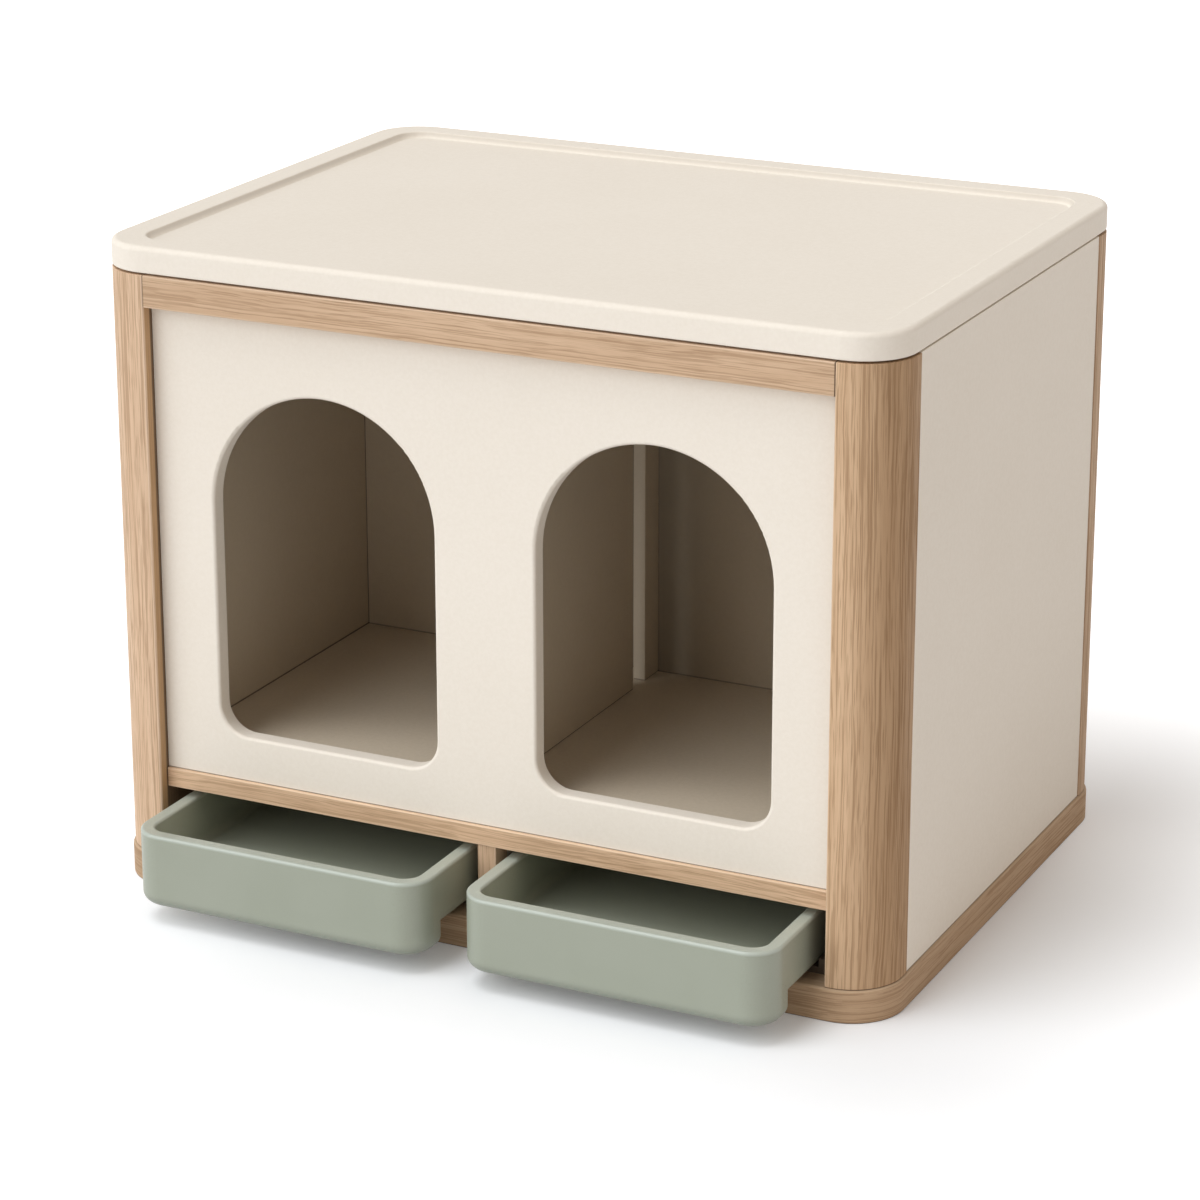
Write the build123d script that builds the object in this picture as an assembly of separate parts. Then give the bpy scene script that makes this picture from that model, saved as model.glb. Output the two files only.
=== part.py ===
from build123d import *
import os

# Litter box enclosure: a wooden-framed cabinet with two arched entries, a flip-top lid and two
# trays that pull out like drawers. Millimetres. X runs to the right, Y to the back and Z up.
# The origin is the middle of the base board's underside, on the floor.

# Plan of the cabinet
width = 760.0
depth = 560.0
corner_radius = 48.0

# Heights, from the floor up
base_thickness = 30.0
drawer_bay_height = 65.0
sub_floor_thickness = 18.0
floor_bearer_height = 15.0
floor_board_thickness = 18.0
front_panel_height = 436.0
rail_height = 29.0
lid_gap = 2.0
lid_thickness = 24.0

# Corner posts, with a flat beside the round on the front and on the side, and base board
post_front_flat = 4.0
post_side_flat = 10.0
wood_ease = 1.0
base_overhang = 2.0
base_round = 3.0

# Rails, sill and stile
rail_depth = 34.0
sill_depth = 25.0
sill_recess = 11.0
stile_width = 18.0
stile_depth = 22.0
stile_recess = 13.0

# Front panel and what it leaves around its two arches
panel_recess = 14.0
front_panel_thickness = 16.0
panel_ease = 0.6
arch_pier = 98.0
arch_side_margin = 58.0
arch_head_margin = 67.0
arch_lift = 42.0
arch_corner_radius = 28.0
arch_round = 3.0
arch_back_round = 1.0

# Side walls: an outer panel, and an inner liner held by a spacer rail
side_panel_thickness = 18.0
side_panel_recess = 1.0
side_liner_thickness = 18.0
spacer_rail_height = 60.0

# Back, inner back, floor and the divider, which ends short of a post on the inner back
back_panel_thickness = 9.0
back_recess = 12.0
back_tongue = 7.0
groove_end_clearance = 1.0
groove_side_clearance = 0.2
inner_back_thickness = 12.0
compartment_depth = 326.0
divider_thickness = 12.0
divider_post_depth = 30.0
divider_gap = 26.0
floor_bearer_width = 40.0
floor_board_clearance = 0.5

# Drawer bay: cleats, partition, runners and stops
cleat_width = 24.0
cleat_height = 24.0
partition_thickness = 12.0
runner_pad_height = 6.0
runner_pad_width = 26.0
runner_lip_height = 14.0
runner_post_clearance = 1.2
runner_setback = 24.0
runner_rear_gap = 45.0
stop_width = 120.0
stop_depth = 12.0
stop_rim_clearance = 1.5
stop_clearance = 0.5

# Trays
tray_pull_out = 80.0
tray_rear_gap = 99.0
tray_wall = 13.0
tray_floor = 6.0
tray_post_gap = 16.0
tray_stile_gap = 9.0
tray_sill_gap = 8.0
tray_side_clearance = 0.8
tray_travel_out = 300.0
tray_inner_corner_radius = 15.0
tray_bottom_round = 10.0
tray_rim_round = 2.5
tray_basin_round = 8.0
chin_depth = 44.0
chin_floor_gap = 17.0
chin_edge_round = 6.0
finger_slot_width = 120.0
finger_slot_roof = 8.0
catch_width = 140.0
catch_clearance = 2.0
catch_inset = 3.0

# Lid
lid_round = 5.0
lid_ease = 1.5
lid_rim = 28.0
lid_field_depth = 5.5
lid_field_corner_radius = 26.0
lid_field_slope = 45.0
lid_field_round = 2.5
bumper_radius = 6.0
bumper_inset = 26.0

# Hinges
hinge_inset = 98.0
hinge_width = 72.0
knuckle_middle_share = 1 / 3
leaf_thickness = 2.0
frame_leaf_height = 24.0
lid_leaf_height = 19.0
knuckle_radius = 4.0
knuckle_gap = 0.4
pin_radius = 2.0
pin_clearance = 0.05
pin_head_radius = 3.0
pin_head_height = 1.0
hinge_screw_inset = 13.0
hinge_screw_radius = 1.6
hinge_screw_length = 15.0
hinge_screw_head_radius = 3.2
hinge_screw_head_height = 1.6

# Dowels and the screws that hold the base board to the posts
dowel_clearance = 0.05
dowel_end_clearance = 1.0
rail_dowel_radius = 4.0
rail_dowel_length = 40.0
rail_dowel_spacing = 16.0
panel_dowel_radius = 3.0
panel_dowel_length = 30.0
panel_dowel_shares = (0.12, 0.5, 0.88)
base_screw_inset = 30.0
base_screw_spacing = 26.0
base_screw_radius = 3.5
base_screw_length = 54.0
base_screw_head_radius = 5.0
base_screw_head_height = 4.0
base_screw_sink = 0.5

# How far a cut runs past the face that it opens
overrun = 1.0

# Places worked out from the sizes above
side = width / 2
front = -depth / 2
back = depth / 2
post_width = corner_radius + post_front_flat
post_depth = corner_radius + post_side_flat
inner_side = side - post_width
post_y = (front + post_depth, back - post_depth)
base_top = base_thickness
sill_bottom = base_top + drawer_bay_height
sill_top = sill_bottom + sub_floor_thickness
floor_bottom = sill_top + floor_bearer_height
floor_top = floor_bottom + floor_board_thickness
rail_bottom = sill_top + front_panel_height
post_top = rail_bottom + rail_height
lid_bottom = post_top + lid_gap
lid_surface = lid_bottom + lid_thickness
panel_front = front + panel_recess
panel_back = panel_front + front_panel_thickness
arch_width = inner_side - arch_side_margin - arch_pier / 2
arch_height = front_panel_height - arch_lift - arch_head_margin
arch_spacing = arch_width + arch_pier
sill_front = front + sill_recess
sill_back = sill_front + sill_depth
stile_front = front + stile_recess
stile_back = stile_front + stile_depth
side_panel_outer = side - side_panel_recess
side_panel_inner = side_panel_outer - side_panel_thickness
liner_inner = inner_side - side_liner_thickness
inner_back_front = panel_back + compartment_depth
inner_back_back = inner_back_front + inner_back_thickness
divider_post_front = inner_back_front - divider_post_depth
divider_back = divider_post_front - divider_gap
floor_side = liner_inner - floor_board_clearance
floor_y = (panel_back + floor_board_clearance, inner_back_front - floor_board_clearance)
back_panel_back = back - back_recess
back_panel_front = back_panel_back - back_panel_thickness
hinge_x = inner_side - hinge_inset
hinge_y = back + knuckle_radius
hinge_z = post_top + lid_gap / 2

# Places of the right-hand tray, at rest
tray_inner = stile_width / 2 + tray_stile_gap
tray_outer = inner_side - tray_post_gap
tray_middle = (tray_inner + tray_outer) / 2
tray_width = tray_outer - tray_inner
tray_corner_radius = tray_inner_corner_radius + tray_wall
tray_front = front - tray_pull_out
tray_back = back_panel_front - tray_rear_gap
tray_length = tray_back - tray_front
tray_bottom = base_top + runner_pad_height
tray_rim = sill_bottom - tray_sill_gap
tray_basin = tray_bottom + tray_floor
chin_back = tray_front + chin_depth
chin_top = tray_bottom + 2 * tray_bottom_round
catch_front = tray_back - tray_wall + catch_inset


def board(x_span, y_span, z_span, ease=0):
    """A board between three pairs of places, with its edges rounded by ease."""
    spans = (x_span, y_span, z_span)
    middle = [(low + high) / 2 for low, high in spans]
    sizes = [high - low for low, high in spans]
    solid = Pos(*middle) * Box(*sizes)
    return fillet(solid.edges(), ease) if ease else solid


def rod(place, direction, radius, length):
    """A round rod centred on place, along direction."""
    return Plane(origin=place, z_dir=direction) * Cylinder(radius, length)


def rounded_slab(x_size, y_size, radius, z_low, z_high):
    """An upright slab, its four plan corners rounded."""
    return extrude(Pos(0, 0, z_low) * RectangleRounded(x_size, y_size, radius), z_high - z_low)


def edges_at(solid, height):
    """The edges that lie wholly at one height."""
    return solid.edges().filter_by_position(Axis.Z, height, height)


# Fastener places and the holes that they need

def rail_dowel_places():
    """Two dowels in each end of the front and rear top rails."""
    rail_middle = (rail_bottom + post_top) / 2
    for y_middle in (front + rail_depth / 2, back - rail_depth / 2):
        for y in (y_middle - rail_dowel_spacing / 2, y_middle + rail_dowel_spacing / 2):
            for x in (-inner_side, inner_side):
                yield (x, y, rail_middle)


def side_panel_dowel_places():
    """Three dowels in each upright edge of the side panels."""
    x_middle = side_panel_outer - side_panel_thickness / 2
    for x in (-x_middle, x_middle):
        for y in post_y:
            for share in panel_dowel_shares:
                yield (x, y, base_top + share * (post_top - base_top))


def front_panel_dowel_places():
    """Three dowels in each upright edge of the front panel."""
    for x in (-inner_side, inner_side):
        for share in panel_dowel_shares:
            yield (x, (panel_front + panel_back) / 2, sill_top + share * front_panel_height)


def base_screw_places():
    """Two screws up into each post."""
    for x in (base_screw_inset - side, side - base_screw_inset):
        for y_middle in (front + post_depth / 2, back - post_depth / 2):
            for y in (y_middle - base_screw_spacing / 2, y_middle + base_screw_spacing / 2):
                yield (x, y)


def dowels(places, direction, radius, length):
    """Dowels of one kind."""
    return [rod(place, direction, radius, length) for place in places]


def dowel_holes(places, direction, radius, length):
    """Holes for dowels of one kind, a little wider and deeper than the dowels."""
    return dowels(places, direction, radius + dowel_clearance, length + 2 * dowel_end_clearance)


def base_screws():
    """Screws with sunk heads, from below the base board into the posts."""
    shank_low = base_screw_sink + base_screw_head_height
    screws = []
    for x, y in base_screw_places():
        head = Pos(x, y, base_screw_sink + base_screw_head_height / 2) * Cylinder(
            base_screw_head_radius, base_screw_head_height)
        shank = Pos(x, y, shank_low + base_screw_length / 2) * Cylinder(
            base_screw_radius, base_screw_length)
        screws.append(head + shank)
    return screws


def base_screw_holes():
    """Stepped holes for the base screws."""
    shank_low = base_screw_sink + base_screw_head_height
    shank_high = shank_low + base_screw_length + dowel_end_clearance
    holes = []
    for x, y in base_screw_places():
        sink = Pos(x, y, (shank_low - overrun) / 2) * Cylinder(
            base_screw_head_radius + dowel_clearance, shank_low + overrun)
        bore = Pos(x, y, shank_high / 2) * Cylinder(base_screw_radius + dowel_clearance, shank_high)
        holes.append(sink + bore)
    return holes


rail_dowel = ((1, 0, 0), rail_dowel_radius, rail_dowel_length)
side_panel_dowel = ((0, 1, 0), panel_dowel_radius, panel_dowel_length)
front_panel_dowel = ((1, 0, 0), panel_dowel_radius, panel_dowel_length)
rail_dowel_cuts = dowel_holes(rail_dowel_places(), *rail_dowel)
side_panel_dowel_cuts = dowel_holes(side_panel_dowel_places(), *side_panel_dowel)
front_panel_dowel_cuts = dowel_holes(front_panel_dowel_places(), *front_panel_dowel)
base_screw_cuts = base_screw_holes()


# Wooden frame

def base_board():
    """Base board with rounded corners, a little wider than the posts."""
    slab = rounded_slab(
        width + 2 * base_overhang, depth + 2 * base_overhang, corner_radius + base_overhang, 0, base_top)
    slab = fillet(edges_at(slab, base_top), base_round)
    slab = fillet(edges_at(slab, 0), wood_ease)
    return slab - base_screw_cuts


def plain_post():
    """Front right post: a quarter-round outer corner, the other edges eased."""
    outline = Pos(side - post_width / 2, front + post_depth / 2) * Rectangle(post_width, post_depth)
    outer_corner = outline.vertices().sort_by_distance((side, front))[0]
    outline = fillet(outer_corner, corner_radius)
    post = extrude(Pos(0, 0, base_top) * outline, post_top - base_top)
    upright_edges = post.edges().filter_by(Axis.Z)
    eased_edges = upright_edges.filter_by(
        lambda edge: edge.center().X < inner_side + wood_ease or edge.center().Y > post_y[0] - wood_ease)
    post = fillet(eased_edges, wood_ease)
    return chamfer(edges_at(post, base_top) + edges_at(post, post_top), wood_ease / 2)


def front_post():
    """Front right post with its dowel and screw holes."""
    return plain_post() - rail_dowel_cuts - side_panel_dowel_cuts - front_panel_dowel_cuts - base_screw_cuts


def rear_post():
    """Rear right post, with the groove that the back panel stands in."""
    post = mirror(plain_post(), about=Plane.XZ)
    groove = board(
        (inner_side - overrun, inner_side + back_tongue + groove_end_clearance),
        (back_panel_front - groove_side_clearance, back_panel_back + groove_side_clearance),
        (base_top - overrun, rail_bottom))
    return post - groove - rail_dowel_cuts - side_panel_dowel_cuts - base_screw_cuts


def top_rail_front():
    """Rail over the front panel, flush with the posts."""
    rail = board((-inner_side, inner_side), (front, front + rail_depth), (rail_bottom, post_top), wood_ease)
    return rail - rail_dowel_cuts


def top_rail_rear():
    """Rail over the back panel, which carries the hinges."""
    rail = board((-inner_side, inner_side), (back - rail_depth, back), (rail_bottom, post_top), wood_ease)
    return rail - rail_dowel_cuts - frame_screw_cuts()


def sill_rail():
    """Sill under the front panel."""
    return board((-inner_side, inner_side), (sill_front, sill_back), (sill_bottom, sill_top), wood_ease)


def drawer_stile():
    """Short upright between the trays."""
    return board(
        (-stile_width / 2, stile_width / 2), (stile_front, stile_back), (base_top, sill_bottom), wood_ease)


# Panels and walls

def arch_outline(x_middle):
    """One entry: a half-round head over straight jambs, with small lower corners."""
    radius = arch_width / 2
    low = sill_top + arch_lift
    spring = low + arch_height - radius
    lower = Pos(x_middle, (low + spring) / 2) * Rectangle(arch_width, spring - low)
    lower_corners = lower.vertices().group_by(Axis.Y)[0]
    return fillet(lower_corners, arch_corner_radius) + Pos(x_middle, spring) * Circle(radius)


def front_panel():
    """Front panel with the two entries, their cut edges rounded."""
    panel = board((-inner_side, inner_side), (panel_front, panel_back), (sill_top, rail_bottom), panel_ease)
    upright = Plane(origin=(0, panel_front, 0), x_dir=(1, 0, 0), z_dir=(0, -1, 0))
    for x_middle in (-arch_spacing / 2, arch_spacing / 2):
        panel -= extrude(upright * arch_outline(x_middle), front_panel_thickness + overrun, both=True)

    def arch_edges(y):
        in_face = panel.edges().filter_by_position(Axis.Y, y, y)
        return in_face.filter_by(
            lambda edge: abs(edge.center().X) < (arch_spacing + arch_width) / 2 + wood_ease
            and sill_top + wood_ease < edge.center().Z < rail_bottom - wood_ease)

    panel = fillet(arch_edges(panel_front), arch_round)
    panel = fillet(arch_edges(panel_back), arch_back_round)
    return panel - front_panel_dowel_cuts


def side_panel():
    """Right outer side panel, from the base board up to the lid's gap."""
    panel = board((side_panel_inner, side_panel_outer), post_y, (base_top, post_top), panel_ease)
    return panel - side_panel_dowel_cuts


def side_liner():
    """Right inner side wall, on the inner faces of the posts."""
    return board((liner_inner, inner_side), (panel_back, back_panel_front), (sill_top, rail_bottom))


def side_spacer_rail():
    """Rail between the right liner and the outer panel, at the top."""
    return board((inner_side, side_panel_inner), post_y, (post_top - spacer_rail_height, post_top))


def back_panel():
    """Thin outer back, standing in grooves of the rear posts."""
    reach = inner_side + back_tongue
    return board((-reach, reach), (back_panel_front, back_panel_back), (base_top, rail_bottom))


def inner_back_panel():
    """Back wall of both compartments."""
    return board((-liner_inner, liner_inner), (inner_back_front, inner_back_back), (sill_top, rail_bottom))


def divider_panel():
    """Wall between the compartments, with a gap behind it."""
    return board(
        (-divider_thickness / 2, divider_thickness / 2), (panel_back, divider_back),
        (floor_top, rail_bottom), panel_ease)


def divider_post():
    """Post on the inner back, in line with the divider."""
    return board(
        (-divider_thickness / 2, divider_thickness / 2), (divider_post_front, inner_back_front),
        (floor_top, rail_bottom), panel_ease)


def sub_floor():
    """Board that carries the compartments, with wings that lie on the cleats."""
    middle = board((-inner_side, inner_side), (sill_back, back_panel_front), (sill_bottom, sill_top))
    wings = board((-side_panel_inner, side_panel_inner), post_y, (sill_bottom, sill_top))
    return middle + wings


def floor_board():
    """Loose floor of both compartments."""
    return board((-floor_side, floor_side), floor_y, (floor_bottom, floor_top), panel_ease)


def floor_bearers():
    """Bearers under the middle and the sides of the floor board."""
    half = floor_bearer_width / 2
    reach = floor_side - half
    return [board((x - half, x + half), floor_y, (sill_top, floor_bottom)) for x in (-reach, 0, reach)]


# Drawer bay

def floor_cleat():
    """Right cleat under the sub-floor's wing."""
    return board(
        (side_panel_inner - cleat_width, side_panel_inner), post_y,
        (sill_bottom - cleat_height, sill_bottom))


def drawer_partition():
    """Wall between the trays, behind the stile."""
    return board(
        (-partition_thickness / 2, partition_thickness / 2), (stile_back, back_panel_front),
        (base_top, sill_bottom))


def drawer_runner(x_tray_side, direction, side_gap):
    """Runner: a pad under the tray, and a lip in the gap beside it; direction points from tray to lip."""
    lip_thickness = side_gap - tray_side_clearance - runner_post_clearance
    x_lip = x_tray_side + direction * tray_side_clearance
    y_span = (front + runner_setback, back_panel_front - runner_rear_gap)
    pad = board(
        sorted((x_lip, x_lip - direction * runner_pad_width)), y_span,
        (base_top, base_top + runner_pad_height))
    lip = board(
        sorted((x_lip, x_lip + direction * lip_thickness)), y_span,
        (base_top, base_top + runner_lip_height))
    return pad + lip


def drawer_stop():
    """Right stop under the sub-floor, which the tray's catch meets when it is pulled out."""
    stop_back = catch_front - tray_travel_out - stop_clearance
    return board(
        (tray_middle - stop_width / 2, tray_middle + stop_width / 2), (stop_back - stop_depth, stop_back),
        (tray_rim + stop_rim_clearance, sill_bottom))


# Trays

def tray_shell():
    """Outside of the tray and its chin, as one closed block."""
    y_middle = (tray_front + tray_back) / 2
    place = Pos(tray_middle, y_middle, 0)
    body = rounded_slab(tray_width, tray_length, tray_corner_radius, tray_bottom, tray_rim)
    body = place * fillet(edges_at(body, tray_bottom), tray_bottom_round)
    chin = rounded_slab(tray_width, tray_length, tray_corner_radius, chin_floor_gap, chin_top)
    chin = place * chin - board(
        (tray_inner - overrun, tray_outer + overrun), (chin_back, tray_back + overrun),
        (chin_floor_gap - overrun, chin_top + overrun))
    back_edges = chin.edges().filter_by(Axis.Z).group_by(Axis.Y)[-1]
    chin = fillet(back_edges, chin_edge_round)
    chin = fillet(edges_at(chin, chin_floor_gap), tray_bottom_round)
    return body + chin


def tray_basin_hollow():
    """Hollow of the tray, rounded where its walls meet its floor."""
    hollow = rounded_slab(
        tray_width - 2 * tray_wall, tray_length - 2 * tray_wall, tray_corner_radius - tray_wall,
        tray_basin, tray_rim + overrun)
    hollow = fillet(edges_at(hollow, tray_basin), tray_basin_round)
    return Pos(tray_middle, (tray_front + tray_back) / 2, 0) * hollow


def drawer_tray():
    """Right tray: thick walls, a finger slot behind the chin and a catch on the rear rim."""
    tray = tray_shell() - tray_basin_hollow()
    tray = fillet(edges_at(tray, tray_rim), tray_rim_round)
    finger_slot = board(
        (tray_middle - finger_slot_width / 2, tray_middle + finger_slot_width / 2),
        (tray_front + tray_wall, chin_back + overrun),
        (chin_floor_gap - overrun, tray_basin - finger_slot_roof))
    catch = board(
        (tray_middle - catch_width / 2, tray_middle + catch_width / 2),
        (catch_front, tray_back - catch_inset),
        (tray_rim - overrun, sill_bottom - catch_clearance))
    return tray - finger_slot + catch


# Lid and hinges

def lid_top():
    """Lid with a rounded edge and a shallow field inside a raised rim."""
    lid = rounded_slab(width, depth, corner_radius, lid_bottom, lid_surface)
    lid = fillet(edges_at(lid, lid_surface), lid_round)
    lid = fillet(edges_at(lid, lid_bottom), lid_ease)
    field = Pos(0, 0, lid_surface) * RectangleRounded(
        width - 2 * lid_rim, depth - 2 * lid_rim, lid_field_corner_radius)
    lid -= extrude(field, lid_field_depth, dir=(0, 0, -1), taper=lid_field_slope)
    inner_edges = edges_at(lid, lid_surface).filter_by(
        lambda edge: abs(edge.center().X) < side - lid_rim + wood_ease
        and abs(edge.center().Y) < back - lid_rim + wood_ease)
    lid = fillet(inner_edges + edges_at(lid, lid_surface - lid_field_depth), lid_field_round)
    return lid - lid_screw_cuts()


def lid_bumpers():
    """Bumpers on the posts, which the lid lies on."""
    x = side - bumper_inset
    y = back - bumper_inset
    return [Pos(x_sign * x, y_sign * y, post_top + lid_gap / 2) * Cylinder(bumper_radius, lid_gap)
            for x_sign in (-1, 1) for y_sign in (-1, 1)]


def hinge_screw_z(direction):
    """Height of the screws in a leaf; direction is 1 on the lid and -1 on the frame."""
    leaf_height = lid_leaf_height if direction > 0 else frame_leaf_height
    return hinge_z + direction * (knuckle_radius + leaf_height) / 2


def hinge_screw_places(direction):
    """Places of the screws on the outer face of both leaves of one kind."""
    reach = hinge_width / 2 - hinge_screw_inset
    for x_middle in (-hinge_x, hinge_x):
        for x in (x_middle - reach, x_middle + reach):
            yield (x, back + leaf_thickness, hinge_screw_z(direction))


def hinge_screws(direction):
    """Pan-head screws of one kind of leaf."""
    screws = []
    for x, y, z in hinge_screw_places(direction):
        head = rod((x, y + hinge_screw_head_height / 2, z), (0, 1, 0), hinge_screw_head_radius,
                   hinge_screw_head_height)
        shank = rod((x, y - hinge_screw_length / 2, z), (0, 1, 0), hinge_screw_radius, hinge_screw_length)
        screws.append(head + shank)
    return screws


def hinge_screw_cuts(direction):
    """Holes for the screws of one kind of leaf."""
    length = hinge_screw_length + dowel_end_clearance + overrun
    radius = hinge_screw_radius + dowel_clearance
    return [rod((x, y + overrun - length / 2, z), (0, 1, 0), radius, length)
            for x, y, z in hinge_screw_places(direction)]


def frame_screw_cuts():
    """Holes for the screws of the frame leaves."""
    return hinge_screw_cuts(-1)


def lid_screw_cuts():
    """Holes for the screws of the lid leaves."""
    return hinge_screw_cuts(1)


def hinge_leaf(direction, x_spans_held, x_spans_free):
    """Right leaf: a plate with knuckles over the held spans and notches at the free ones."""
    leaf_height = lid_leaf_height if direction > 0 else frame_leaf_height
    plate = board(
        (hinge_x - hinge_width / 2, hinge_x + hinge_width / 2), (back, back + leaf_thickness),
        sorted((hinge_z, hinge_z + direction * leaf_height)))
    for low, high in x_spans_free:
        centre = (hinge_x + (low + high) / 2, hinge_y, hinge_z)
        plate -= rod(centre, (1, 0, 0), knuckle_radius + knuckle_gap, high - low + 2 * knuckle_gap)
    for low, high in x_spans_held:
        centre = (hinge_x + (low + high) / 2, hinge_y, hinge_z)
        plate += rod(centre, (1, 0, 0), knuckle_radius, high - low)
    bore = rod((hinge_x, hinge_y, hinge_z), (1, 0, 0), pin_radius + pin_clearance, hinge_width + overrun)
    return plate - bore - hinge_screw_cuts(direction)


def hinge_spans():
    """Spans of the knuckles along the hinge: the two outer ones and the middle one."""
    edge = hinge_width / 2
    inner = edge * knuckle_middle_share
    return ((-edge, -inner - knuckle_gap), (inner + knuckle_gap, edge)), ((-inner, inner),)


def hinge_frame_leaf():
    """Right leaf on the rear rail."""
    outer_spans, middle_spans = hinge_spans()
    return hinge_leaf(-1, outer_spans, middle_spans)


def hinge_lid_leaf():
    """Right leaf on the lid."""
    outer_spans, middle_spans = hinge_spans()
    return hinge_leaf(1, middle_spans, outer_spans)


def hinge_pin():
    """Right hinge pin with a head at each end."""
    pin = rod((hinge_x, hinge_y, hinge_z), (1, 0, 0), pin_radius, hinge_width)
    for end in (-1, 1):
        x_head = hinge_x + end * (hinge_width + pin_head_height) / 2
        pin += rod((x_head, hinge_y, hinge_z), (1, 0, 0), pin_head_radius, pin_head_height)
    return pin


# Files

os.makedirs("parts", exist_ok=True)


def save(shape, name):
    """Write one node; a list of solids is written as a group."""
    group = Compound(shape) if isinstance(shape, list) else shape
    export_step(group, f"parts/{name}.step")


def save_pair(shape, name):
    """Write a right-hand piece and its mirror image."""
    save(shape, f"{name}_right")
    save(mirror(shape, about=Plane.YZ), f"{name}_left")


singles = (
    base_board, top_rail_front, top_rail_rear, sill_rail, drawer_stile, front_panel, back_panel,
    inner_back_panel, divider_panel, divider_post, sub_floor, floor_bearers, floor_board, drawer_partition,
    lid_top, lid_bumpers, base_screws)
pairs = (
    side_panel, side_liner, side_spacer_rail, floor_cleat, drawer_stop, drawer_tray,
    hinge_frame_leaf, hinge_lid_leaf, hinge_pin)

for make in singles:
    save(make(), make.__name__)
for make in pairs:
    save_pair(make(), make.__name__)

save_pair(front_post(), "post_front")
save_pair(rear_post(), "post_rear")
save_pair(drawer_runner(tray_outer, 1, tray_post_gap), "drawer_runner_outer")
save_pair(drawer_runner(tray_inner, -1, tray_stile_gap), "drawer_runner_inner")
save(dowels(rail_dowel_places(), *rail_dowel), "rail_dowels")
save(dowels(side_panel_dowel_places(), *side_panel_dowel), "side_panel_dowels")
save(dowels(front_panel_dowel_places(), *front_panel_dowel), "front_panel_dowels")
save(hinge_screws(-1), "hinge_frame_screws")
save(hinge_screws(1), "hinge_lid_screws")
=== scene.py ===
"""Looks of the litter box enclosure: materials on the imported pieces, floor, light and camera.
Metres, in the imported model's own frame: X to the right, Y to the back, Z up from the floor."""

import math

import bpy
from mathutils import Matrix, Vector


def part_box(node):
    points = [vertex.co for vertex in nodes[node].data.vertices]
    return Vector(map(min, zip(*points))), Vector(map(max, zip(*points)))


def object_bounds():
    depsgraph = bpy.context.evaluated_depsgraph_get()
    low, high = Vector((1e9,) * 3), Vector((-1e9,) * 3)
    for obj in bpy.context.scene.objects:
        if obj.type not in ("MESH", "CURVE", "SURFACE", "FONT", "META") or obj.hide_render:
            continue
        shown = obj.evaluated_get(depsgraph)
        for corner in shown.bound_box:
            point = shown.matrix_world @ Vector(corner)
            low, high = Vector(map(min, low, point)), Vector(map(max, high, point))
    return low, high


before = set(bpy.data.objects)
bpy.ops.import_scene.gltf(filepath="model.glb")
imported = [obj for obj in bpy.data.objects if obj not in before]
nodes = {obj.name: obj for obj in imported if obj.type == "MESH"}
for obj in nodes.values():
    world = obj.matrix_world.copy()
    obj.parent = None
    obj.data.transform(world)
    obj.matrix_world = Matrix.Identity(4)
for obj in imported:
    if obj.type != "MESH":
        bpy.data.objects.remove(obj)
cad_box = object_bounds()

# Camera: the view is taken as a square image, with the lens axis a little above its middle
image_pixels = 1200
focal_pixels = 3774.2
axis_row = 500
sensor_width = 36.0
camera_place = Vector((1.4362, -2.9856, 1.3851))
camera_azimuth = math.radians(25.979)
camera_elevation = math.radians(17.547)
camera_roll = math.radians(0.071)

# Light: lamps as strength, spread, azimuth and elevation in degrees, and colour, in an even warm surround
cool_lamp = (0.92, 0.965, 1.0)
warm_lamp = (1.0, 0.89, 0.77)
lamps = {
    "overhead": (0.94, 26, -50, 72, cool_lamp),
    "front": (1.88, 60, -35, 32, cool_lamp),
    "side": (0.44, 80, 88, 28, warm_lamp),
}
surround_colour = (1.0, 0.932, 0.862, 1)
surround_strength = 0.32
white = (1, 1, 1, 1)

# Floor: its glow for the camera grows with the distance from the cabinet, and again towards the rear:
# painted light that shapes the fade of the shadow
floor_size = 60.0
floor_colour = (0.859, 0.861, 0.876, 1)
floor_pale = (0.888, 0.89, 0.904, 1)
floor_pale_share = 0.03
floor_lift = (0.09, 0.38)
floor_fade = 0.4
floor_rear = (0.0, 0.3)
floor_rear_lift = 0.17
# The distance is taken from the part of the footprint to the right of this X
floor_shade_left = -0.1

# Colours, as linear values
cream = (0.868, 0.793, 0.70, 1)
cream_shade = (0.828, 0.75, 0.652, 1)
# Painted shade on the step round the lid's field
step_painted_shade = (0.5, 0.435, 0.36, 1)
# Greige of the inner boards: darker than the outer cream, partly their own tone and partly painted shade
# for the shaded interior
greige = (0.56, 0.472, 0.362, 1)
greige_shade = (0.53, 0.444, 0.336, 1)
greige_floor = (0.61, 0.52, 0.41, 1)
# Painted shade on the inner back beside the divider post
back_painted_shade = (0.2, 0.165, 0.12, 1)
oak_light = (0.665, 0.465, 0.31, 1)
oak_middle = (0.575, 0.385, 0.245, 1)
oak_line = (0.36, 0.22, 0.125, 1)
# Painted highlight on the eased oak edges
oak_edge_highlight = (0.78, 0.59, 0.43, 1)
# Dark seams: painted shade in the joints and corners between parts
seam_shade = (0.09, 0.06, 0.04, 1)
sage = (0.33, 0.351, 0.282, 1)
sage_shade = (0.313, 0.335, 0.265, 1)
# Painted highlight along the tray's rim
sage_rim_highlight = (0.445, 0.48, 0.42, 1)
# Painted light inside the tray behind its front
sage_painted_light = (0.56, 0.59, 0.49, 1)
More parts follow.
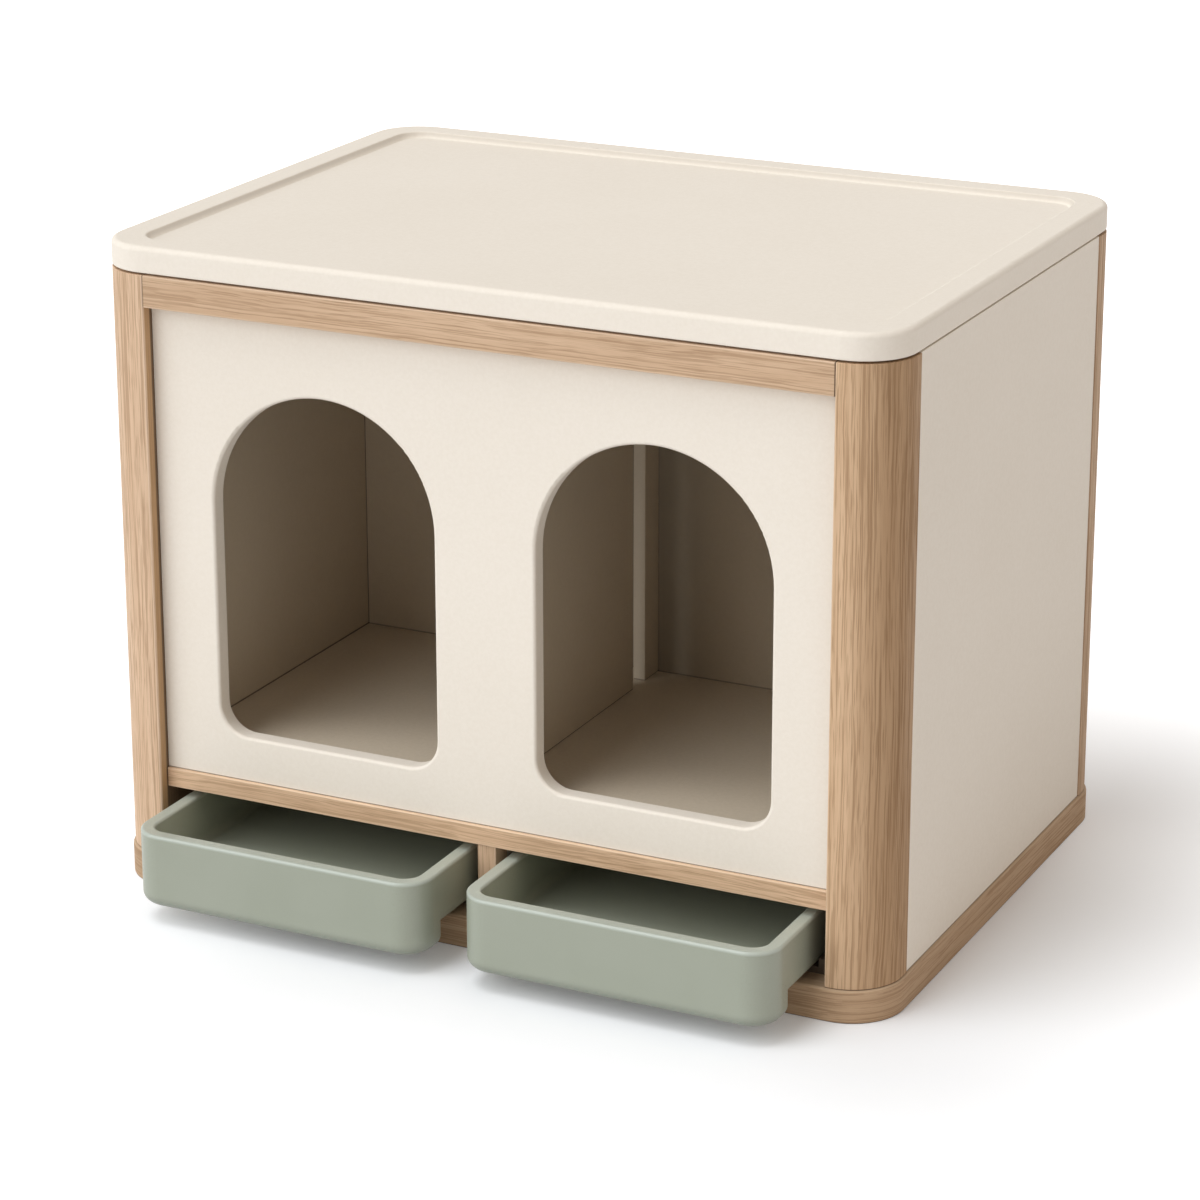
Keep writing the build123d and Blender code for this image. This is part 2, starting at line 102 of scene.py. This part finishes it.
# Painted shade at the tray's foot
sage_foot_shade = (0.17, 0.185, 0.145, 1)
runner_dark = (0.15, 0.115, 0.085, 1)
runner_black = (0.12, 0.092, 0.068, 1)
nickel = (0.46, 0.45, 0.43, 1)
zinc = (0.4, 0.4, 0.39, 1)
rubber_dull = (0.66, 0.64, 0.6, 1)
rubber_pale = (0.74, 0.72, 0.68, 1)

# Tones, as factors channel by channel: painted light and shade, oak pieces lighter or darker than the
# rest by how the light falls on them
oak_light_and_shade_tones = {
    "base_board": (0.80, 0.785, 0.74),
    "sill_rail": (1.13, 1.125, 1.11),
    "post_front_left": (1.12, 1.14, 1.17),
    "post_front_right": (1.055, 1.04, 0.99),
}
# Painted shade on the right posts: tones at their outer side, which faces away from the lamps, reached
# from a share of the post's width on
turned_shade_tones = {
    "post_front_right": (0.68, 0.63, 0.56),
    "post_rear_right": (0.88, 0.87, 0.85),
}
turn_start = 0.2
# Tones of the front posts' inner sides, painted shade in the recess, and of the glints in brushed metal
reveal_shade_tone = (0.69, 0.59, 0.45)
glint_tone = (1.12, 1.12, 1.12)

# Textures: the range that noise mostly keeps to, then scale, detail and roughness of each noise
noise_span = (0.3, 0.7)
board_clouds = (7.0, 3.0, 0.5)
board_mottle = (260.0, 3.0, 0.65)
board_pebble = (1300.0, 2.0, 0.6)
plastic_clouds = (12.0, 3.0, 0.5)
plastic_spark = (1900.0, 2.0, 0.6)
metal_lines = (5200.0, 2.0, 0.5)
rubber_specks = (900.0, 3.0, 0.5)
floor_grains = (40.0, 3.0, 0.5)
# Shares of the shade colour that a board's clouds and mottle bring, and the pace of metal's lines along X
board_clouds_share = 0.25
board_mottle_share = 0.55
metal_pace = (0.03, 1, 1)

# Oak grain: kinds of mark as the pace along the grain, then scale, detail and roughness of the noise
grain_marks = {
    "drift": (0.25, 14.0, 1.0, 0.5),
    "ripple": (0.5, 70.0, 1.0, 0.5),
    "bands": (0.03, 150.0, 2.0, 0.5),
    "growth": (0.009, 560.0, 1.0, 0.5),
    "pores": (0.025, 900.0, 2.0, 0.6),
    "fibres": (0.015, 2300.0, 2.0, 0.5),
    "clouds": (0.35, 8.0, 2.0, 0.5),
}
drift_sway = 0.012
ripple_sway = 0.0011
bands_span = (0.25, 0.75)
growth_span = (0.38, 0.5)
pores_span = (0.5, 0.68)
marks_strength = 0.588
post_marks_strength = 0.735
full_marks = 0.7
fibres_share = 0.25
clouds_share = 0.14
# How far apart in the wood two pieces next in number are taken
grain_apart = (0.37, 0.61, 0.23)
# Base board: the corner radius that its grain follows, and how far out of its flat middle the edge begins
base_corner = 0.05
base_edge_start = 0.0005

# Roughness from and to, and relief as strength and depth
oak_roughness = (0.54, 0.72)
oak_relief = (0.35, 0.0004)
board_roughness = (0.55, 0.68)
board_relief = (0.15, 0.0004)
tray_roughness = (0.26, 0.38)
runner_roughness = (0.44, 0.56)
plastic_relief = (0.1, 0.0003)
hinge_roughness = (0.28, 0.44)
screw_roughness = (0.24, 0.4)
metal_relief = (0.15, 0.0001)
rubber_relief = (0.1, 0.0003)

# Dark seams of painted shade in joints, and painted highlights on light edges: widths and strengths
seam_width = 0.0012
oak_seam = 0.8
board_seam = 0.75
edge_width = 0.0016
edge_strength = 0.5

# Inner boards: floor seams of painted shade of another strength, corner seams of painted shade as axis
# and ends, and painted shade on the back beside the divider post
floor_seams = {"inner_back_panel": 0.45, "divider_panel": 0.95}
corner_seams = {
    "inner_back_panel": ("X", "both"),
    "divider_post": ("Y", "high"),
    "divider_panel": ("Y", "high"),
}
back_shade = (0.006, 0.11)
back_shade_strength = 0.6

# Lid: depth of the step round its field, and how far in from the lid's edge its painted shade is kept
lid_step = 0.0055
lid_edge = 0.02
# The step's painted shade starts and fades over these shares of its depth
step_start = (0.0, 0.2)
step_fade = (0.35, 0.95)
step_strength = 0.42

# Trays: painted tints fade over a range: a highlight below the rim, light behind the front inside, and
# shade above the foot
tray_rim = (0.002, 0.004)
tray_rim_strength = 0.8
tray_light = (0.03, 0.12)
tray_light_strength = 0.6
tray_foot = (0.002, 0.013)
tray_foot_strength = 0.6
# The inside begins a little short of the wall's inner face, and a stop at the back stands above the rim
tray_inside = 0.012
tray_stop_height = 0.006


class Look:
    """A material whose node tree is put together by short calls."""

    def __init__(self, name, roughness=0.5, specular=0.5, metallic=0.0):
        self.material = bpy.data.materials.new(name)
        self.material.use_nodes = True
        self.tree = self.material.node_tree
        self.shader = self.tree.nodes["Principled BSDF"]
        self.set("Roughness", roughness)
        self.set("Specular IOR Level", specular)
        self.set("Metallic", metallic)

    def set(self, socket, value):
        """Feed one of the shader's sockets."""
        self.feed(self.shader.inputs[socket], value)

    def finished(self, colour):
        """The material, with its colour."""
        self.set("Base Color", colour)
        return self.material

    def feed(self, socket, value):
        """Link a socket, or set its own value."""
        if isinstance(value, bpy.types.NodeSocket):
            self.tree.links.new(value, socket)
        else:
            socket.default_value = value

    def add(self, kind, inputs, output=0, **settings):
        """A new node, with its settings and inputs; gives one of its outputs."""
        node = self.tree.nodes.new(kind)
        for name, value in settings.items():
            setattr(node, name, value)
        for key, value in inputs.items():
            self.feed(node.inputs[key], value)
        return node.outputs[output]

    def place(self):
        """The surface point in the piece's own frame, in metres."""
        return self.add("ShaderNodeTexCoord", {}, output="Object")

    def maths(self, operation, *values):
        """One arithmetic step."""
        return self.add("ShaderNodeMath", dict(enumerate(values)), operation=operation)

    def gap(self, first, second):
        """How far apart two values are."""
        return self.maths("ABSOLUTE", self.maths("SUBTRACT", first, second))

    def beyond(self, value, limit):
        """How far a value lies past a limit, or 0."""
        return self.maths("MAXIMUM", self.maths("SUBTRACT", value, limit), 0.0)

    def inward(self, value, low, high):
        """How far a value lies inside the nearer of two limits."""
        above = self.maths("SUBTRACT", value, low)
        below = self.maths("SUBTRACT", high, value)
        return self.maths("MINIMUM", above, below)

    def held(self, value, limit):
        """A value held between a limit and its negative."""
        return self.maths("MAXIMUM", self.maths("MINIMUM", value, limit), -limit)

    def length(self, across, along):
        """The length of a step with two parts at right angles."""
        squares = (self.maths("MULTIPLY", part, part) for part in (across, along))
        return self.maths("SQRT", self.maths("ADD", *squares))

    def split(self, vector):
        """The three parts of a vector."""
        node = self.tree.nodes.new("ShaderNodeSeparateXYZ")
        self.tree.links.new(vector, node.inputs[0])
        return list(node.outputs)

    def join(self, x, y, z):
        """A vector from three parts."""
        return self.add("ShaderNodeCombineXYZ", {0: x, 1: y, 2: z})

    def scaled(self, vector, factors, shift=(0, 0, 0)):
        """A vector times factors, plus a shift."""
        return self.add(
            "ShaderNodeVectorMath", {0: vector, 1: factors, 2: shift}, operation="MULTIPLY_ADD")

    def noise(self, vector, scale, detail, roughness):
        """Smooth noise from 0 to 1."""
        inputs = {"Vector": vector, "Scale": scale, "Detail": detail, "Roughness": roughness}
        return self.add("ShaderNodeTexNoise", inputs)

    def band(self, value, low, high, out_low=0.0, out_high=1.0):
        """A value carried smoothly from one range to another, and held at its ends."""
        inputs = {"Value": value, "From Min": low, "From Max": high}
        inputs.update({"To Min": out_low, "To Max": out_high})
        return self.add("ShaderNodeMapRange", inputs, interpolation_type="SMOOTHSTEP")

    def spread(self, noise, low, high):
        """Noise carried from the range that it mostly keeps to, to another."""
        return self.band(noise, *noise_span, low, high)

    def mix(self, share, first, second):
        """Two colours blended; the node's colour sockets come after those for numbers and vectors."""
        node = self.tree.nodes.new("ShaderNodeMix")
        node.data_type = "RGBA"
        for socket, value in ((node.inputs[0], share), (node.inputs[6], first), (node.inputs[7], second)):
            self.feed(socket, value)
        return node.outputs[2]

    def near_end(self, name, axis, ends, reach, strength):
        """Strength close to the low or high end of a piece along an axis, or to both."""
        part = "XYZ".index(axis)
        low, high = (corner[part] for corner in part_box(name))
        place = self.split(self.place())[part]
        if ends == "both":
            near = self.inward(place, low, high)
        elif ends == "low":
            near = self.maths("SUBTRACT", place, low)
        else:
            near = self.maths("SUBTRACT", high, place)
        return self.band(near, reach / 2, reach, strength, 0.0)

    def bump(self, height, strength, distance):
        """Surface relief from a height."""
        inputs = {"Strength": strength, "Distance": distance, "Height": height}
        self.set("Normal", self.add("ShaderNodeBump", inputs))


def toned(colour, tone):
    """A colour made lighter or darker, channel by channel."""
    return tuple(part * factor for part, factor in zip(colour, tone)) + (1,)


def grain_way(name):
    """The way the grain runs: round the base board's edge, up the posts and the stile, or along X."""
    if name == "base_board":
        return "EDGE"
    upright = name.startswith("post_") or name == "drawer_stile"
    return "Z" if upright else "X"


def grain_place(look, way):
    """The surface point with its third part along the grain."""
    if way == "EDGE":
        return edge_band_place(look)
    x, y, z = look.split(look.place())
    return look.join(*{"X": (y, z, x), "Z": (x, y, z)}[way])


def edge_band_place(look):
    """The surface point on the base board, with the grain running round its edge."""
    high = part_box("base_board")[1]
    x_turn, y_turn = high.x - base_corner, high.y - base_corner
    x, y, z = look.split(look.place())
    x_flat = look.held(x, x_turn)
    y_flat = look.held(y, y_turn)
    x_past = look.gap(x, x_flat)
    y_past = look.maths("SUBTRACT", y_flat, y)
    outward = look.length(x_past, y_past)
    inside = look.maths("LESS_THAN", outward, base_edge_start)
    turn = look.maths("ARCTAN2", x_past, y_past)
    ahead = look.maths("SUBTRACT", look.maths("ABSOLUTE", x_flat), x_turn)
    depth = look.maths("ADD", y_flat, y_turn)
    straight = look.maths("MULTIPLY_ADD", look.maths("COSINE", turn), ahead, depth)
    run = look.maths("MULTIPLY_ADD", turn, base_corner, look.maths("ADD", straight, x_turn))
    round_edge = look.maths("MULTIPLY", look.maths("SIGN", x), run)
    edge_share = look.maths("SUBTRACT", 1.0, inside)
    along = look.maths("MULTIPLY_ADD", inside, x, look.maths("MULTIPLY", edge_share, round_edge))
    return look.join(look.maths("MULTIPLY_ADD", inside, y, outward), z, along)


def grain_noise(look, place, kind):
    """Noise drawn out along the grain."""
    pace, *noise = grain_marks[kind]
    return look.noise(look.scaled(place, (1, 1, pace)), *noise)


def oak_grain(look, place, tone, strength):
    """The wood's colour, the strength of its lines and pores, and its fibres."""
    drift = grain_noise(look, place, "drift")
    ripple = grain_noise(look, place, "ripple")
    sway = look.maths("MULTIPLY_ADD", drift, drift_sway, look.maths("MULTIPLY", ripple, ripple_sway))
    swayed = look.add("ShaderNodeVectorMath", {0: place, 1: look.join(sway, sway, 0.0)})
    bands = grain_noise(look, swayed, "bands")
    fibres = grain_noise(look, swayed, "fibres")
    clouds = grain_noise(look, place, "clouds")
    lines = look.band(grain_noise(look, swayed, "growth"), *growth_span, strength, 0.0)
    dashes = look.band(grain_noise(look, swayed, "pores"), *pores_span, 0.0, strength)
    light, middle, dark = (toned(colour, tone) for colour in (oak_light, oak_middle, oak_line))
    body = look.mix(look.band(bands, *bands_span), light, middle)
    dashed = look.mix(dashes, look.mix(lines, body, dark), dark)
    fine = look.mix(look.spread(fibres, 0.0, fibres_share), dashed, middle)
    colour = look.mix(look.spread(clouds, 0.0, clouds_share), fine, light)
    return colour, look.maths("ADD", lines, dashes), fibres


def painted_turn_shade(look, name, colour):
    """A right post with painted shade, darker towards its outer side."""
    low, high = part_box(name)
    start = low.x + turn_start * (high.x - low.x)
    x = look.split(look.place())[0]
    tones = (look.band(x, start, high.x, 1.0, tone) for tone in turned_shade_tones[name])
    return look.scaled(colour, look.join(*tones))


def shaded_reveal(look, name, inner_end, colour):
    """A front post's inner side darkened with painted shade, and a dark seam of painted shade where the
    front panel meets it.
    """
    front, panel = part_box(name)[0].y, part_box("front_panel")[0].y
    y = look.split(look.place())[1]
    inner = look.near_end(name, "X", inner_end, edge_width / 2, 1.0)
    behind = look.band(y, front + edge_width, front + 2 * edge_width)
    joint = look.band(y, panel - 4 * seam_width, panel - 2 * seam_width, 0.0, oak_seam)
    shaded = look.mix(joint, look.scaled(colour, reveal_shade_tone), seam_shade)
    return look.mix(look.maths("MULTIPLY", inner, behind), colour, shaded)


def oak_ends(name, way):
    """Axis and ends of a piece's painted highlights on its edges, and of its dark seams of painted shade.
    """
    if way == "EDGE":
        return ("Z", "high"), ("Z", "low")
    if way == "Z":
        return ("X", "low" if name.endswith("right") else "high"), ("Z", "low")
    return ("Z", "both"), ("X", "both")


def oak(look_name, name, number):
    """Pale oiled oak: growth bands, thin lines, short pores, fine fibres, dark seams of painted shade,
    painted highlights on edges, and painted light and shade in tones.
    """
    way = grain_way(name)
    tone = oak_light_and_shade_tones.get(name, (1, 1, 1))
    strength = post_marks_strength if name.startswith("post_") else marks_strength
    look = Look(look_name, specular=0.2)
    shift = tuple(number * step for step in grain_apart)
    place = look.scaled(grain_place(look, way), (1, 1, 1), shift)
    colour, marks, fibres = oak_grain(look, place, tone, strength)
    if name in turned_shade_tones:
        colour = painted_turn_shade(look, name, colour)
    highlight_ends, seam_ends = oak_ends(name, way)
    # Painted highlight along the piece's edges
    highlit = look.near_end(name, *highlight_ends, edge_width, edge_strength)
    colour = look.mix(highlit, colour, toned(oak_edge_highlight, tone))
    if name.startswith("post_front"):
        colour = shaded_reveal(look, name, highlight_ends[1], colour)
    # Dark seam at the piece's end: painted shade in the joint
    joint = look.near_end(name, *seam_ends, seam_width, oak_seam)
    look.set("Roughness", look.band(marks, 0.0, full_marks, *oak_roughness))
    raised = look.maths("MULTIPLY", fibres, fibres_share)
    look.bump(look.maths("MULTIPLY_ADD", marks, -1.0, raised), *oak_relief)
    return look.finished(look.mix(joint, colour, seam_shade))


def mottled_board(name, colour, shade):
    """Matt board with a very fine pebbled texture: its look, and its faintly mottled paint."""
    look = Look(name, specular=0.16)
    place = look.place()
    clouds = look.spread(look.noise(place, *board_clouds), 0.0, board_clouds_share)
    mottle = look.spread(look.noise(place, *board_mottle), 0.0, board_mottle_share)
    pebble = look.noise(place, *board_pebble)
    look.set("Roughness", look.spread(pebble, *board_roughness))
    look.bump(pebble, *board_relief)
    return look, look.mix(look.maths("ADD", clouds, mottle), colour, shade)


def foot_seam_shade(look, paint, height, strength):
    """Paint with a dark seam of painted shade at a height."""
    off_foot = look.gap(look.split(look.place())[2], height)
    return look.mix(look.band(off_foot, seam_width / 2, seam_width, strength, 0.0), paint, seam_shade)


def plain_board(name, colour, shade):
    """Painted board without seams."""
    look, paint = mottled_board(name, colour, shade)
    return look.finished(paint)


def outer_panel(look_name, name):
    """Cream panel with a dark seam of painted shade at its foot."""
    look, paint = mottled_board(look_name, cream, cream_shade)
    return look.finished(foot_seam_shade(look, paint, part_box(name)[0].z, board_seam))


def inner_board(look_name, name):
    """Greige board with dark seams of painted shade at the floor and in corners, and painted shade beside
    the divider post.
    """
    look, paint = mottled_board(look_name, greige, greige_shade)
    if name == "inner_back_panel":
        # Painted shade on the back beside the divider post
        off_middle = look.maths("ABSOLUTE", look.split(look.place())[0])
        paint = look.mix(look.band(off_middle, *back_shade, back_shade_strength, 0.0), paint, back_painted_shade)
    paint = foot_seam_shade(look, paint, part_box("floor_board")[1].z, floor_seams.get(name, board_seam))
    if name in corner_seams:
        paint = look.mix(look.near_end(name, *corner_seams[name], seam_width, board_seam), paint, seam_shade)
    return look.finished(paint)


def lid_board(look_name, name):
    """Cream lid with painted shade on the step round its field."""
    look, paint = mottled_board(look_name, cream, cream_shade)
    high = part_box(name)[1]
    x, y, z = look.split(look.place())
    off_x = look.maths("SUBTRACT", high.x - lid_edge, look.maths("ABSOLUTE", x))
    off_y = look.maths("SUBTRACT", high.y - lid_edge, look.maths("ABSOLUTE", y))
    inside = look.maths("GREATER_THAN", look.maths("MINIMUM", off_x, off_y), 0.0)
    down = look.maths("DIVIDE", look.maths("SUBTRACT", high.z, z), lid_step)
    starting = look.band(down, *step_start)
    fading = look.band(down, *step_fade, step_strength, 0.0)
    shaded = look.maths("MULTIPLY", inside, look.maths("MULTIPLY", starting, fading))
    return look.finished(look.mix(shaded, paint, step_painted_shade))


def moulded_plastic(name, colour, shade, roughness, specular):
    """Matt moulded plastic with a fine spark-eroded texture: its look, and its clouded tint."""
    look = Look(name, specular=specular)
    place = look.place()
    clouds = look.noise(place, *plastic_clouds)
    spark = look.noise(place, *plastic_spark)
    look.set("Roughness", look.spread(spark, *roughness))
    look.bump(spark, *plastic_relief)
    return look, look.mix(look.spread(clouds, 0.0, 1.0), colour, shade)


def runner_plastic(name):
    """Dark plastic of the drawer runners."""
    look, tint = moulded_plastic(name, runner_dark, runner_black, runner_roughness, specular=0.2)
    return look.finished(tint)


def tray_plastic(look_name, name):
    """Sage plastic of a tray, with painted light inside behind its front, a painted highlight along its
    rim, and painted shade at its foot.
    """
    look, tint = moulded_plastic(look_name, sage, sage_shade, tray_roughness, specular=0.65)
    low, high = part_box(name)
    x, y, z = look.split(look.place())
    off_front = look.maths("SUBTRACT", y, low.y)
    off_wall = look.maths("MINIMUM", look.inward(x, low.x, high.x), off_front)
    inside = look.maths("GREATER_THAN", off_wall, tray_inside)
    lit = look.maths("MULTIPLY", inside, look.band(off_front, *tray_light, tray_light_strength, 0.0))
    tint = look.mix(lit, tint, sage_painted_light)
    above_foot = look.maths("SUBTRACT", z, low.z)
    tint = look.mix(look.band(above_foot, *tray_foot, tray_foot_strength, 0.0), tint, sage_foot_shade)
    off_rim = look.maths("SUBTRACT", high.z - tray_stop_height, z)
    tint = look.mix(look.band(off_rim, *tray_rim, tray_rim_strength, 0.0), tint, sage_rim_highlight)
    return look.finished(tint)


def satin_metal(name, colour, roughness):
    """Plated metal with fine brushed lines."""
    look = Look(name, metallic=1.0)
    brushed = look.noise(look.scaled(look.place(), metal_pace), *metal_lines)
    look.set("Roughness", look.spread(brushed, *roughness))
    look.bump(brushed, *metal_relief)
    return look.finished(look.mix(brushed, colour, toned(colour, glint_tone)))


def clear_rubber(name):
    """Soft, slightly milky rubber."""
    look = Look(name, roughness=0.6, specular=0.4)
    specks = look.noise(look.place(), *rubber_specks)
    look.bump(specks, *rubber_relief)
    return look.finished(look.mix(specks, rubber_dull, rubber_pale))


def dress():
    """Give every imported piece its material, by its name and the slot that it came with."""
    shared = {
        "cream_board": plain_board("cream_board_look", cream, cream_shade),
        "greige_board": plain_board("greige_board_look", greige_floor, greige),
        "runner_plastic": runner_plastic("runner_plastic_look"),
        "hinge_steel": satin_metal("hinge_steel_look", nickel, hinge_roughness),
        "screw_steel": satin_metal("screw_steel_look", zinc, screw_roughness),
        "bumper_rubber": clear_rubber("bumper_rubber_look"),
    }
    for number, (name, piece) in enumerate(sorted(nodes.items())):
        slot = piece.material_slots[0].material.name
        look_name = f"{slot}_{name}"
        if slot in ("oak", "beech"):
            material = oak(look_name, name, number)
        elif slot == "sage_plastic":
            material = tray_plastic(look_name, name)
        elif name == "lid_top":
            material = lid_board(look_name, name)
        elif slot == "cream_board" and "panel" in name:
            material = outer_panel(look_name, name)
        elif slot == "greige_board" and "floor" not in name:
            material = inner_board(look_name, name)
        else:
            material = shared[slot]
        piece.material_slots[0].material = material


def ray_seen(look):
    """1 for rays that show the backdrop itself: camera, glossy and transmission rays."""
    node = look.tree.nodes.new("ShaderNodeLightPath")
    glossy = look.maths("MAXIMUM", node.outputs["Is Glossy Ray"], node.outputs["Is Transmission Ray"])
    return look.maths("MAXIMUM", node.outputs["Is Camera Ray"], glossy)


def floor_glow(look):
    """The floor's glow, painted light which grows with the distance from the cabinet, and again towards
    the rear.
    """
    right, rear = cad_box[1][:2]
    middle = (floor_shade_left + right) / 2
    x, y, _ = look.split(look.place())
    beside = look.beyond(look.gap(x, middle), right - middle)
    ahead = look.beyond(look.maths("ABSOLUTE", y), rear)
    lift = look.band(look.length(beside, ahead), 0.0, floor_fade, *floor_lift)
    return look.maths("ADD", lift, look.band(y, *floor_rear, 0.0, floor_rear_lift))


def studio_floor():
    """Wide pale floor that looks white to the camera but keeps the shadow."""
    bpy.ops.mesh.primitive_plane_add(size=floor_size)
    floor = bpy.context.object
    floor.name = "floor"
    look = Look("floor_look", roughness=0.9, specular=0.0)
    grains = look.spread(look.noise(look.place(), *floor_grains), 0.0, floor_pale_share)
    look.set("Emission Color", white)
    look.set("Emission Strength", look.maths("MULTIPLY", ray_seen(look), floor_glow(look)))
    floor.data.materials.append(look.finished(look.mix(grains, floor_colour, floor_pale)))


class WorldLook(Look):
    """The surround's node tree."""

    def __init__(self):
        world = bpy.data.worlds.new("surround")
        world.use_nodes = True
        bpy.context.scene.world = world
        self.tree = world.node_tree
        self.shader = self.tree.nodes["Background"]


def towards(azimuth, elevation):
    """The direction to something seen at an azimuth and an elevation from the front."""
    level = math.cos(elevation)
    return Vector((math.sin(azimuth) * level, -math.cos(azimuth) * level, math.sin(elevation)))


def studio_light():
    """Even surround that looks white, and soft lamps."""
    world = WorldLook()
    seen = ray_seen(world)
    world.set("Color", world.mix(seen, surround_colour, white))
    world.set("Strength", world.band(seen, 0.0, 1.0, surround_strength, 1.0))
    for name, (strength, spread, azimuth, elevation, colour) in lamps.items():
        light = bpy.data.lights.new(name, "SUN")
        light.energy = strength
        light.angle = math.radians(spread)
        light.color = colour
        lamp = bpy.data.objects.new(name, light)
        aim = towards(math.radians(azimuth), math.radians(elevation))
        lamp.rotation_euler = aim.to_track_quat("Z", "Y").to_euler()
        bpy.context.scene.collection.objects.link(lamp)


def studio_camera():
    """Camera at the photograph's place and angle."""
    back = towards(camera_azimuth, camera_elevation)
    right = (-back).cross(Vector((0, 0, 1))).normalized()
    up = back.cross(right)
    cosine, sine = math.cos(camera_roll), math.sin(camera_roll)
    right, up = cosine * right - sine * up, sine * right + cosine * up
    lens = bpy.data.cameras.new("camera")
    lens.sensor_width = sensor_width
    lens.lens = sensor_width * focal_pixels / image_pixels
    lens.shift_y = (axis_row - image_pixels / 2) / image_pixels
    camera = bpy.data.objects.new("camera", lens)
    camera.matrix_world = Matrix((right, up, back)).transposed().to_4x4()
    camera.location = camera_place
    bpy.context.scene.collection.objects.link(camera)
    bpy.context.scene.camera = camera


dress()
studio_floor()
studio_light()
studio_camera()
bpy.context.scene.view_settings.view_transform = "Standard"
